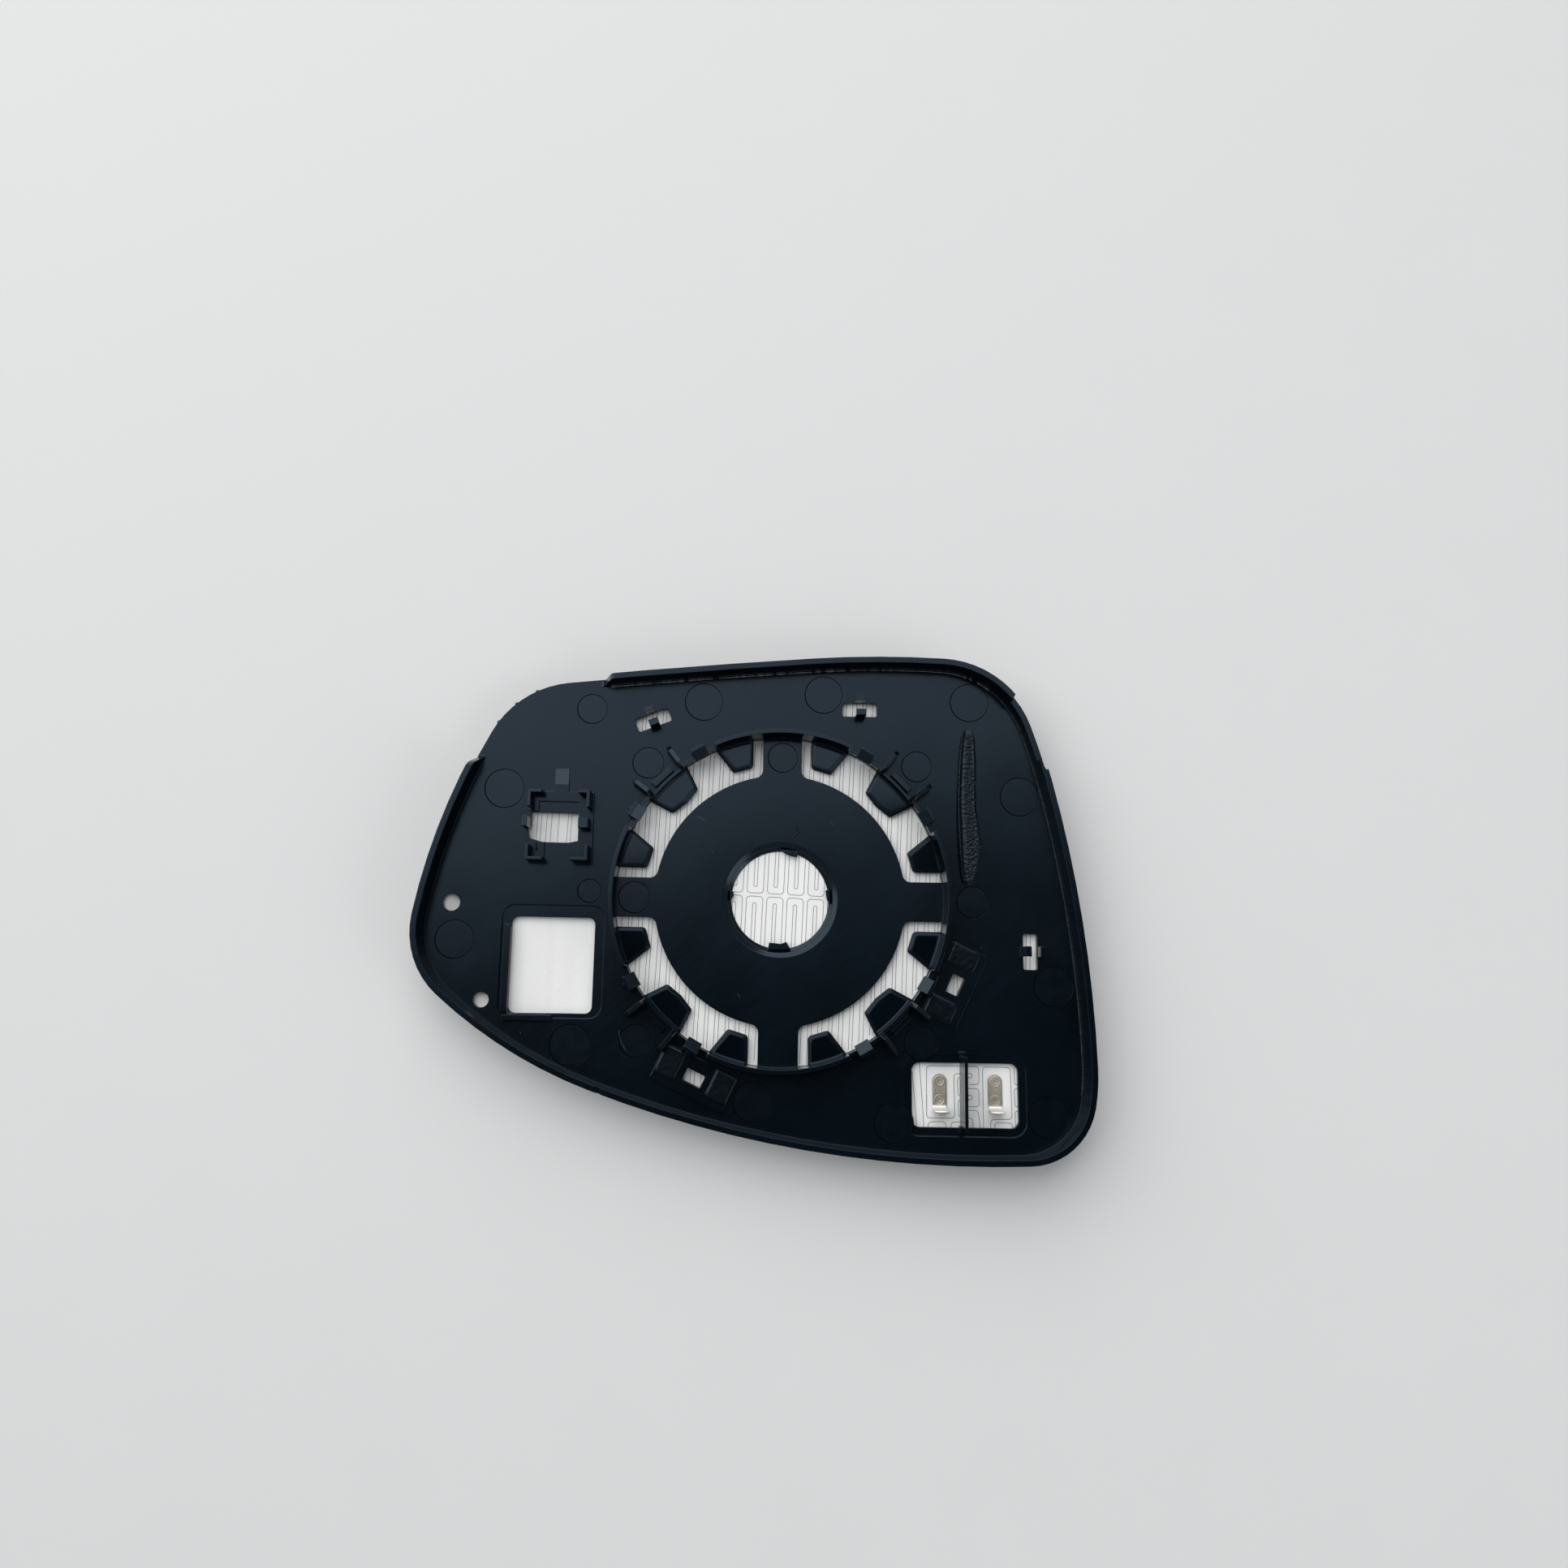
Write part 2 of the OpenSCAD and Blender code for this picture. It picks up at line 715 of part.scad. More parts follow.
// Spade terminal with its foot on the film and its end bent up.
module terminal(x) {
    end = -blade_l / 2;
    color([0.72, 0.69, 0.64])
        translate([-middle.x, -middle.y, 0])
            on_curve([x, -54.4], plate_z + foot_gap) {
                linear_extrude(blade_t)
                    polygon([[-blade_w / 2, end], [blade_w / 2, end],
                             [blade_w / 2, -end - 1.2], [blade_w / 4, -end],
                             [-blade_w / 4, -end], [-blade_w / 2, -end - 1.2]]);
                for (d = [3, 7.6])
                    translate([0, end + d, 0])
                        cylinder(r = 1.4, h = blade_t + 0.2, $fn = 48);
                translate([-blade_w / 2, end, 0])
                    cube([blade_w, blade_t, blade_h]);
            }
}

module terminal_left() {
    terminal(54.85 - blade_pitch / 2);
}

module terminal_right() {
    terminal(54.85 + blade_pitch / 2);
}

module sealant_strip() {
    n = 16;
    function half(t) = bead_w / 2 * pow(sin(180 * (0.03 + 0.94 * t)), 0.45);
    function sway(t) = 0.5 * sin(250 * t) - 0.2 * cos(900 * t);
    color([0.05, 0.05, 0.06])
        translate([-middle.x, -middle.y, 0])
            layer(back_z, back_z + bead_t)
                translate([55.6, 28.8 - bead_l / 2])
                    polygon(concat(
                        [for (k = [0:n]) let (t = k / n) [half(t) + sway(t), bead_l * t]],
                        [for (k = [n:-1:0]) let (t = k / n) [sway(t) - half(t), bead_l * t]]));
}

backing_plate();
mirror_glass();
heater_film();
terminal_left();
terminal_right();
sealant_strip();
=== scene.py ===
import bpy
import math
from mathutils import Matrix, Vector, noise


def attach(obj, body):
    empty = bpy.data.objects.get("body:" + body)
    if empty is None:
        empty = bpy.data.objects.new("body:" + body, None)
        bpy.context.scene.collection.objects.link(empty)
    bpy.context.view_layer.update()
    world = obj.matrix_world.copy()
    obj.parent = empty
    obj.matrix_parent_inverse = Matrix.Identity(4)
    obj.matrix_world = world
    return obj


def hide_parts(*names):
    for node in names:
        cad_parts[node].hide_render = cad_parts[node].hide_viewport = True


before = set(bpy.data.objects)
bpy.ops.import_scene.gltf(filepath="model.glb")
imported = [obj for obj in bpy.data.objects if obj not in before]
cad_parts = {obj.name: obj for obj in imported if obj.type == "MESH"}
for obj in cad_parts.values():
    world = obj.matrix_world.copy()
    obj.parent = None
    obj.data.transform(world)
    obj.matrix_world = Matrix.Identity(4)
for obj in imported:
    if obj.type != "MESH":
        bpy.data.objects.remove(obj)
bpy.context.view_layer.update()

# Lengths are in millimetres, as in the part's source, unless a comment says metres.
MM = 0.001
RING = (7.25803, 0.89008)   # centre of the clip ring in the row's frame
MIRROR_R = 1300.0           # radius of the glass's curve
FILM = 2.4                  # back of the heater film
BACK = 4.4                  # back of the plate
STEP_H = 0.5                # raised step of the cable holder
PAD_TOP = 1.2               # raised ends of the two pads
MARK_DEPTH = 0.12           # ejector marks


def rise(x, y):
    return MIRROR_R - math.sqrt(MIRROR_R * MIRROR_R - x * x - y * y)


def at(x, y, z):
    """Row-frame point from millimetres about the ring's centre; z follows the curve."""
    return Vector(((x + RING[0]) * MM, (y + RING[1]) * MM, (z + rise(x, y)) * MM))


# ---------------------------------------------------------------- camera
# Solved from the outline and the clip ring in the photograph; its place is in metres.
PHOTO_PX = 1932
FOCAL_PX = 1450
SENSOR = 36

cam = bpy.data.objects.new("camera", bpy.data.cameras.new("camera"))
bpy.context.scene.collection.objects.link(cam)
bpy.context.scene.camera = cam
cam.data.sensor_width = SENSOR
cam.data.lens = SENSOR * FOCAL_PX / PHOTO_PX
cam.data.clip_start = 0.01
cam.data.clip_end = 20
cam.matrix_world = Matrix((
    (0.999386, -0.020540, -0.028390, -0.0021535),
    (0.015744, 0.987007, -0.159901, -0.0209225),
    (0.031306, 0.159356, 0.986725, 0.3523),
    (0, 0, 0, 1)))


# ---------------------------------------------------------------- materials
class Nodes:
    """A material's node tree, and the few nodes that the finishes use."""

    SOCKETS = {"color": "Base Color", "rough": "Roughness", "metal": "Metallic",
               "level": "Specular IOR Level", "normal": "Normal", "tint": "Specular Tint",
               "coat": "Coat Weight", "coat_rough": "Coat Roughness"}
    BEVEL_SAMPLES = 6

    def __init__(self, name):
        self.mat = bpy.data.materials.new(name)
        self.mat.use_nodes = True
        self.tree = self.mat.node_tree
        self.tree.nodes.clear()
        self.bsdf = self.add("BsdfPrincipled")
        self.link(self.bsdf.outputs[0], self.add("OutputMaterial").inputs[0])
        self.object = self.add("TexCoord").outputs["Object"]

    def add(self, kind):
        return self.tree.nodes.new("ShaderNode" + kind)

    def link(self, a, b):
        self.tree.links.new(a, b)

    def put(self, value, socket):
        if hasattr(value, "is_output"):
            self.link(value, socket)
        else:
            socket.default_value = value

    def math(self, kind, a, b=0.0):
        n = self.add("Math")
        n.operation = kind
        self.put(a, n.inputs[0])
        self.put(b, n.inputs[1])
        return n.outputs[0]

    def product(self, first, *others):
        for value in others:
            first = self.math("MULTIPLY", first, value)
        return first

    def mapping(self, scale, turn):
        n = self.add("Mapping")
        self.link(self.object, n.inputs["Vector"])
        n.inputs["Scale"].default_value = scale
        n.inputs["Rotation"].default_value = turn
        return n.outputs[0]

    def along(self, degrees, stretch):
        """Object coordinates with one direction in the plane drawn out."""
        turned = self.add("VectorRotate")
        turned.rotation_type = "Z_AXIS"
        self.link(self.object, turned.inputs["Vector"])
        turned.inputs["Angle"].default_value = -math.radians(degrees)
        drawn = self.add("VectorMath")
        drawn.operation = "MULTIPLY"
        self.link(turned.outputs[0], drawn.inputs[0])
        drawn.inputs[1].default_value = (stretch, 1.0, 1.0)
        return drawn.outputs[0]

    def noise(self, scale, detail, rough, vector=None):
        n = self.add("TexNoise")
        self.link(self.object if vector is None else vector, n.inputs["Vector"])
        n.inputs["Scale"].default_value = scale
        n.inputs["Detail"].default_value = detail
        n.inputs["Roughness"].default_value = rough
        return n.outputs[0]

    def ramp(self, value, low, high, to_low=0.0, to_high=1.0):
        n = self.add("MapRange")
        self.put(value, n.inputs[0])
        for k, bound in enumerate((low, high, to_low, to_high), 1):
            n.inputs[k].default_value = bound
        return n.outputs[0]

    def mix(self, factor, a, b):
        n = self.add("Mix")
        n.data_type = "RGBA"
        self.put(factor, n.inputs[0])
        self.put(a, n.inputs[6])
        self.put(b, n.inputs[7])
        return n.outputs[2]

    def bump(self, height, strength, distance, normal=None):
        n = self.add("Bump")
        n.inputs["Strength"].default_value = strength
        n.inputs["Distance"].default_value = distance
        self.put(height, n.inputs["Height"])
        if normal is not None:
            self.link(normal, n.inputs["Normal"])
        return n.outputs[0]

    def bevel(self, radius):
        n = self.add("Bevel")
        n.samples = self.BEVEL_SAMPLES
        self.put(radius, n.inputs["Radius"])
        return n.outputs[0]

    def split(self):
        n = self.add("SeparateXYZ")
        self.link(self.object, n.inputs[0])
        return n.outputs

    def set(self, **values):
        for key, value in values.items():
            self.put(value, self.bsdf.inputs[self.SOCKETS[key]])
        return self.mat


def rgb(r, g, b):
    return (r, g, b, 1.0)


# Where the tongues of the clip ring are, in metres: between two radii about the ring's
# centre, beside the four arms, and below a level.
TONGUE_IN, TONGUE_OUT = 0.0385, 0.0484
ARM_HALF = 0.0075
TONGUE_TOP = 0.00545
# Blue tint on the plastics' reflections: a painted reflection of blue surroundings, as the plastic
# reflects without colour of its own.
BLUE_REFLECTION_TINT = rgb(0.62, 0.80, 1.0)


def moulding():
    """Satin black plastic with fine diagonal streaks, polished on the tongues."""
    m = Nodes("moulded_black_plastic")
    x, y, z = m.split()
    rx = m.math("SUBTRACT", x, RING[0] * MM)
    ry = m.math("SUBTRACT", y, RING[1] * MM)
    r = m.math("SQRT", m.math("ADD", m.math("MULTIPLY", rx, rx), m.math("MULTIPLY", ry, ry)))
    tongue = m.product(
        m.math("GREATER_THAN", r, TONGUE_IN), m.math("LESS_THAN", r, TONGUE_OUT),
        m.math("GREATER_THAN", m.math("ABSOLUTE", rx), ARM_HALF),
        m.math("GREATER_THAN", m.math("ABSOLUTE", ry), ARM_HALF),
        m.math("LESS_THAN", z, TONGUE_TOP))
    cloud = m.noise(38, 4, 0.6)
    streak = m.noise(1500, 2, 0.5, m.along(40, 0.03))
    grain = m.noise(3200, 2, 0.6)
    base = m.mix(m.ramp(cloud, 0.35, 0.65), rgb(0.0007, 0.0025, 0.0046),
                 rgb(0.0014, 0.0042, 0.0072))
    satin = m.math("ADD", m.ramp(cloud, 0.3, 0.7, 0.165, 0.20),
                   m.ramp(streak, 0.35, 0.65, -0.012, 0.012))
    rough = m.math("ADD", m.math("MULTIPLY", satin, m.math("SUBTRACT", 1.0, tongue)),
                   m.math("MULTIPLY", 0.09, tongue))
    height = m.math("ADD", m.math("MULTIPLY", grain, 0.6), m.math("MULTIPLY", streak, 0.35))
    height = m.math("MULTIPLY", height,
                    m.math("SUBTRACT", 1.0, m.math("MULTIPLY", tongue, 0.9)))
    edge = m.bevel(m.math("ADD", 0.00028, m.math("MULTIPLY", tongue, 0.0008)))
    return m.set(color=base, rough=rough, level=0.4, tint=BLUE_REFLECTION_TINT,
                 normal=m.bump(height, 0.3, 0.000035, edge))


PRINT_TURN = math.radians(2.1)   # the film's print against the plate's length


def film_finish():
    """Silver-grey film with a faint grain along its tracks."""
    m = Nodes("printed_heater_film")
    band = m.noise(230, 2, 0.5, m.mapping((1, 0.015, 1), (0, 0, PRINT_TURN)))
    fleck = m.noise(1700, 3, 0.65)
    tone = m.math("ADD", m.ramp(band, 0.3, 0.7, 0.0, 0.55), m.ramp(fleck, 0.3, 0.7, 0.0, 0.45))
    base = m.mix(tone, rgb(0.84, 0.84, 0.825), rgb(0.95, 0.95, 0.945))
    return m.set(color=base, rough=0.5, level=0.4, normal=m.bump(fleck, 0.2, 0.00005))


def glass_finish():
    """Glass with its silvering behind it."""
    m = Nodes("silvered_glass")
    n = m.noise(40, 2, 0.5)
    return m.set(color=m.mix(n, rgb(0.86, 0.88, 0.9), rgb(0.9, 0.91, 0.93)),
                 rough=m.ramp(n, 0.3, 0.7, 0.012, 0.02), metal=1.0, coat=1.0, coat_rough=0.01)


def terminal_finish():
    """Nickel plate, dull on the foot; near white from the bend on, a painted highlight (y in
    metres).
    """
    m = Nodes("nickel_plate_and_highlight")
    y = m.split()[1]
    n = m.noise(700, 4, 0.6)
    spot = m.noise(260, 2, 0.5)
    foot = m.mix(m.ramp(spot, 0.35, 0.65), rgb(0.31, 0.28, 0.23), rgb(0.43, 0.39, 0.33))
    # From the bend on, the pale colour is a painted highlight.
    base = m.mix(m.ramp(y, -0.0570, -0.0576), foot, rgb(0.93, 0.91, 0.87))
    return m.set(color=base, metal=0.45, rough=m.ramp(n, 0.3, 0.7, 0.34, 0.46),
                 normal=m.bump(n, 0.4, 0.00004, m.bevel(0.00015)))


def plain(name, color, rough, level, scale=800, vary=0.12, depth=0.00002, tint=(1, 1, 1, 1)):
    """One colour that varies by a share, with a grain whose depth is in metres."""
    m = Nodes(name)
    n = m.noise(scale, 3, 0.6)
    dark = rgb(*[c * (1 - vary) for c in color])
    light = rgb(*[min(1, c * (1 + vary)) for c in color])
    return m.set(color=m.mix(n, dark, light), rough=m.ramp(n, 0.3, 0.7, rough * 0.9, rough * 1.1),
                 level=level, tint=tint, normal=m.bump(n, 0.3, depth))


PLASTIC = moulding()
FILM_MAT = film_finish()
GLASS = glass_finish()
NICKEL = terminal_finish()
TRACK = plain("heater_track", (0.26, 0.26, 0.27), 0.5, 0.3)
TRACK_DARK = plain("heater_track_dark", (0.20, 0.215, 0.24), 0.5, 0.3)
SEAL = plain("black_sealant", (0.0020, 0.0034, 0.0050), 0.30, 0.35,
             scale=2200, vary=0.5, depth=0.00020, tint=BLUE_REFLECTION_TINT)
ROUGH = plain("rough_patch", (0.0014, 0.0030, 0.0048), 0.24, 0.36,
              scale=420, vary=0.45, depth=0.00003, tint=BLUE_REFLECTION_TINT)
FACE = plain("ejector_face", (0.0016, 0.0040, 0.0068), 0.19, 0.42,
             scale=300, vary=0.3, depth=0.000008, tint=BLUE_REFLECTION_TINT)
# Plastic of the holder's tab, coloured lighter than the rest: painted light on its sloping top.
TAB_PAINTED_LIGHT = plain("glossy_tab_painted_light", (0.010, 0.009, 0.010), 0.20, 0.62,
            scale=300, vary=0.3, depth=0.000008, tint=BLUE_REFLECTION_TINT)
# Dark outlines of the ejector marks: painted shadow of their edges.
MARK_EDGE_SHADOW = plain("ejector_edge_shadow", (0.0004, 0.0007, 0.0011), 0.7, 0.04)
FLASH = plain("pale_flash", (0.16, 0.17, 0.18), 0.6, 0.3, scale=1500, vary=0.4)
HATCH = plain("torn_flash", (0.42, 0.43, 0.44), 0.6, 0.3, scale=1500, vary=0.3)
SEAM = plain("worn_edge", (0.026, 0.032, 0.038), 0.5, 0.3, scale=1500, vary=0.5, tint=BLUE_REFLECTION_TINT)
# Pale lilac grey for a painted highlight along the edge of a window.
LEDGE_HIGHLIGHT = plain("painted_ledge_highlight", (0.13, 0.115, 0.135), 0.6, 0.3, scale=900, vary=0.3)
SCUFF = plain("pale_scuff", (0.075, 0.09, 0.105), 0.6, 0.3)
DOT = plain("etched_dot", (0.16, 0.17, 0.19), 0.6, 0.3)

for node, material in (("backing_plate", PLASTIC), ("heater_film", FILM_MAT),
                       ("mirror_glass", GLASS), ("terminal_left", NICKEL),
                       ("terminal_right", NICKEL), ("sealant_strip", SEAL)):
    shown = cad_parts[node]
    shown.data.materials.clear()
    shown.data.materials.append(material)


# ---------------------------------------------------------------- making pieces
def piece(name, verts, faces, material, smooth=False):
    mesh = bpy.data.meshes.new(name)
    mesh.from_pydata([tuple(v) for v in verts], [], faces)
    mesh.materials.append(material)
    if smooth:
        for f in mesh.polygons:
            f.use_smooth = True
    mesh.update()
    ob = bpy.data.objects.new(name, mesh)
    bpy.context.scene.collection.objects.link(ob)
    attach(ob, "root")
    return ob


def hump(s, middle, width):
    return math.exp(-((s - middle) / width) ** 2)


def way(degrees):
    return Vector((math.cos(math.radians(degrees)), math.sin(math.radians(degrees))))


def grain_at(x, y, z):
    return noise.noise(Vector((x, y, z)))


def spline(p0, p1, p2, p3, t):
    """Point of a smooth curve between p1 and p2."""
    return 0.5 * (2 * p1 + (p2 - p0) * t + (2 * p0 - 5 * p1 + 4 * p2 - p3) * t * t
                  + (3 * p1 - p0 - 3 * p2 + p3) * t ** 3)


def fillet(pts, r, n=5):
    """Open line with its corners rounded to radius r, or to less than half of a side."""
    share = 0.48
    out = [pts[0]]
    for p, q, s in zip(pts, pts[1:], pts[2:]):
        p, q, s = Vector(p), Vector(q), Vector(s)
        a, b = p - q, s - q
        cut = min(r, a.length * share, b.length * share)
        p, s = q + a.normalized() * cut, q + b.normalized() * cut
        for k in range(n + 1):
            t = k / n
            out.append(tuple(p * (1 - t) ** 2 + q * 2 * t * (1 - t) + s * t * t))
    out.append(pts[-1])
    return out


def dense(pts, step):
    out = [Vector(pts[0])]
    for p, q in zip(pts, pts[1:]):
        p, q = Vector(p), Vector(q)
        n = max(1, int((q - p).length / step))
        out += [p + (q - p) * (k + 1) / n for k in range(n)]
    return out


class Strips:
    """Flat lines and discs on one level of the curved part."""

    # Half width of a mark's outline, the painted shadow that widens it, and the direction where it
    # is widest.
    RING_HALF, RING_SWELL, RING_TURN = 0.10, 0.06, 130

    def __init__(self, level):
        self.level = level
        self.verts = []
        self.faces = []

    def line(self, pts, width, step=1.5, seen=None):
        """A line of even width; seen says where it may show."""
        pts = dense(pts, step)
        if seen:
            run = []
            for p in pts + [None]:
                if p is not None and seen(p.x, p.y):
                    run.append(p)
                else:
                    if len(run) > 1:
                        self.line(run, width, step=1e3)
                    run = []
            return
        base = len(self.verts)
        for i, p in enumerate(pts):
            d = pts[min(i + 1, len(pts) - 1)] - pts[max(i - 1, 0)]
            if d.length == 0:
                d = Vector((1, 0))
            side = Vector((-d.y, d.x)).normalized() * width / 2
            for q in (p + side, p - side):
                self.verts.append(at(q.x, q.y, self.level))
        for i in range(len(pts) - 1):
            k = base + 2 * i
            self.faces.append((k, k + 1, k + 3, k + 2))

    def disc(self, x, y, r, n=48):
        base = len(self.verts)
        self.verts.append(at(x, y, self.level))
        for k in range(n):
            p = way(360 * k / n) * r
            self.verts.append(at(x + p.x, y + p.y, self.level))
            self.faces.append((base, base + 1 + k, base + 1 + (k + 1) % n))

    def ring(self, x, y, r, n=64):
        """Thin dark outline of a round mark, a painted shadow of its edge, heavier on the side
        away from the light.
        """
        base = len(self.verts)
        for k in range(n):
            out = way(360 * k / n)
            swell = math.cos(math.radians(360 * k / n + self.RING_TURN))
            half = self.RING_HALF + self.RING_SWELL * swell
            for q in (r - half, r + half):
                self.verts.append(at(x + q * out.x, y + q * out.y, self.level))
            p, q = base + 2 * k, base + 2 * ((k + 1) % n)
            self.faces.append((p, p + 1, q + 1, q))

    def make(self, name, material):
        return piece(name, self.verts, self.faces, material)


# ---------------------------------------------------------------- print on the film
PRINT_LIFT = 0.08
TRACK_W = 0.16
PITCH = 6.02          # from one loop of the heater to the next
LOOP_AT = 4.55        # middle of one loop
LOOP_HALF, SLIT_HALF = 2.42, 0.5
LOOP_R, SLIT_R = 1.2, 0.45
TRACK_END = 62        # the loops go this far up and down
TRACKS = range(-8, 13)
# Side of the film, and where its loops and the slits in them end.
LOOP_ENDS = ((1, 1.72, 3.65), (-1, 0.76, -1.2))
# The clip slots and the openings in the two pads.
SLOTS = ((-38.95, 52.9), (23, 57.4), (73.45, -14.1), (51.4, -24.0), (-24.0, -51.4))
SLOT_REACH = 6.5
RING_WINDOWS = (36, 48.3)
CENTRE_HOLE = 15.5
# Straight tracks in the window of the cable holder: x of each, and their two ends.
HOLDER_TRACKS = (-72.2, -71.1, -69.5, -68.1, -66.0, -63.3, -62.3, -58.9)
HOLDER_ENDS = ((-0.2, 15.0), (0.15, 24.8))
HOLDER_TRACK_W = 0.14
PRINT_R, PRINT_W = 1.1, 0.17


def skew(u, v):
    return (u * math.cos(PRINT_TURN) + v * math.sin(PRINT_TURN),
            -u * math.sin(PRINT_TURN) + v * math.cos(PRINT_TURN))


def through_plate(x, y):
    """Whether an opening in the moulding shows the film here."""
    r = math.hypot(x, y)
    return (RING_WINDOWS[0] < r < RING_WINDOWS[1] or r < CENTRE_HOLE
            or any(math.hypot(x - a, y - b) < SLOT_REACH for a, b in SLOTS))


tracks = Strips(FILM + PRINT_LIFT)
for k in TRACKS:
    c = LOOP_AT + PITCH * k
    for side, loop_end, slit_end in LOOP_ENDS:
        for half, end, r in ((LOOP_HALF, loop_end, LOOP_R), (SLIT_HALF, slit_end, SLIT_R)):
            loop = fillet([(c - half, TRACK_END * side), (c - half, end),
                           (c + half, end), (c + half, TRACK_END * side)], r)
            tracks.line([skew(*p) for p in loop], TRACK_W, seen=through_plate)
for x in HOLDER_TRACKS:
    tracks.line([(x + shift, y) for shift, y in HOLDER_ENDS], HOLDER_TRACK_W)
tracks.make("film_tracks", TRACK)

# Printed conductors in the window of the terminals.
PRINT = [
    [(43.1, -60.8), (43.2, -47.2), (58.3, -47.2), (58.3, -52.3), (55.5, -52.3)],
    [(43.2, -55.4), (43.1, -61.8), (51.2, -61.7), (51.1, -49.3), (54.2, -49.3)],
    [(41.1, -46.4), (41.7, -54.0), (42.3, -64.9)], [(39.1, -49.0), (39.6, -55.4), (40.3, -64.9)],
    [(55.5, -50.2), (52.1, -50.3), (52.2, -55.6), (55.4, -55.5)],
    [(55.4, -56.4), (52.2, -56.5), (52.3, -61.6), (55.3, -61.6)],
    [(43.4, -65), (43.6, -62.8), (48.5, -62.7), (48.7, -64.9)],
    [(50, -64.9), (50.2, -62.8), (55.3, -62.8)],
    [(54.1, -49.2), (56.3, -49.2), (56.3, -50.4), (54.1, -50.5)],
    [(54, -55.3), (56.3, -55.3), (56.3, -56.5), (54, -56.6)],
    [(53, -53.4), (58.2, -53.4), (58.3, -58.5), (52.9, -58.5)],
    [(52.9, -59.5), (57.9, -59.5), (58.5, -64.7)],
    [(53.9, -61.6), (56.3, -61.6), (56.4, -64.7)],
    [(59.4, -64.7), (59.4, -47.3), (67.4, -47.3), (67.6, -61.8), (61.5, -61.9), (61.4, -64.7)],
    [(70.4, -46.6), (68.5, -46.9), (68.5, -52.1), (70.2, -52.2)],
    [(70.2, -53.2), (68.4, -53.2), (68.5, -58.3), (70.1, -58.3)],
    [(70, -59.5), (68.5, -59.5), (68.5, -64.5)],
    [(62.6, -64.6), (62.7, -62.8), (67.5, -62.8), (67.7, -64.5)]]
conductors = Strips(FILM + PRINT_LIFT)
for line in PRINT:
    conductors.line(fillet(line, PRINT_R), PRINT_W)
conductors.make("film_conductors", TRACK_DARK)

# ---------------------------------------------------------------- ejector marks
FACE_LIFT, FACE_IN = 0.06, 0.1
LINE_LIFT = 0.03
# x, y and radius of each mark, as in the part's source.
MARKS = [(-57.1, 55.7, 4.4), (-23.9, 58.8, 5.6), (12.1, 61.8, 5.6), (56.1, 60.1, 5.7),
         (-40, 39.9, 4.6), (0.1, 42.4, 4.4), (40.3, 40.4, 4.5), (-81.8, 31.1, 5.7),
         (71, 31.7, 5.7), (-55.9, 1.5, 3.4), (-42.8, -0.1, 4.6), (56.8, 0.2, 4.6),
         (-93.7, -13.2, 5.5), (-59.5, -42.6, 5.8), (-41, -41.2, 4.6), (41.3, -40.7, 4.8),
         (80, -24, 5.7), (-6.8, -57.9, 5.7), (33.5, -63.1, 5.7), (77.6, -61, 5.8)]
mark_faces = Strips(BACK - MARK_DEPTH + FACE_LIFT)
# The dark outlines are painted shadow along the marks' edges.
mark_edge_shadows = Strips(BACK + LINE_LIFT)
for x, y, r in MARKS:
    mark_faces.disc(x, y, r - FACE_IN)
    mark_edge_shadows.ring(x, y, r)
mark_faces.make("ejector_faces", FACE)
mark_edge_shadows.make("ejector_edge_shadows", MARK_EDGE_SHADOW)

# ---------------------------------------------------------------- spade terminals
BLADE_W, BLADE_T, BLADE_L, BLADE_H = 4.1, 0.5, 10.0, 6.5
FOOT_Y = -54.4
FOOT_GAP = 0.02
BEND_R = 1.1
LEAN = math.radians(6)
# Spot joints: where they are along the foot, and height, radius and width of their rings.
DIMPLES = (BLADE_L / 2 - BLADE_W / 2, -2.3)
DIMPLE_RINGS = ((0.10, 1.32, 0.16), (0.05, 0.70, 0.14), (-0.03, 0.0, 1.0))
EDGE_DROP, EDGE_WIDE = 0.16, 0.22
FLECK, FLECK_SCALE = 0.025, 2.5
TIP_HALF = 0.12       # half of the foot's width at its very end
CROWDING = 1.15       # sets the rows closer together at the round end
FLAT_STEPS, BEND_STEPS, TIP_STEPS, ACROSS = 84, 12, 16, 32


def blade_path():
    """Outer face of a terminal from its round end to its tip: y, z and the way inwards."""
    half = BLADE_L / 2
    out = [(half - (BLADE_L - BEND_R) * (k / FLAT_STEPS) ** CROWDING, 0.0, 0.0, 1.0)
           for k in range(FLAT_STEPS + 1)]
    for k in range(1, BEND_STEPS + 1):
        a = (math.pi / 2 - LEAN) * k / BEND_STEPS
        out.append((BEND_R - half - BEND_R * math.sin(a), BEND_R - BEND_R * math.cos(a),
                    math.sin(a), math.cos(a)))
    y, z, ny, nz = out[-1]
    for k in range(1, TIP_STEPS + 1):
        step = (BLADE_H - BEND_R) * k / TIP_STEPS
        out.append((y - step * nz, z + step * ny, ny, nz))
    return out


def dimple(x, y):
    """Height of the raised rings of the two spot joints on a foot."""
    return sum(height * hump(math.hypot(x, y - c), middle, width)
               for c in DIMPLES for height, middle, width in DIMPLE_RINGS)


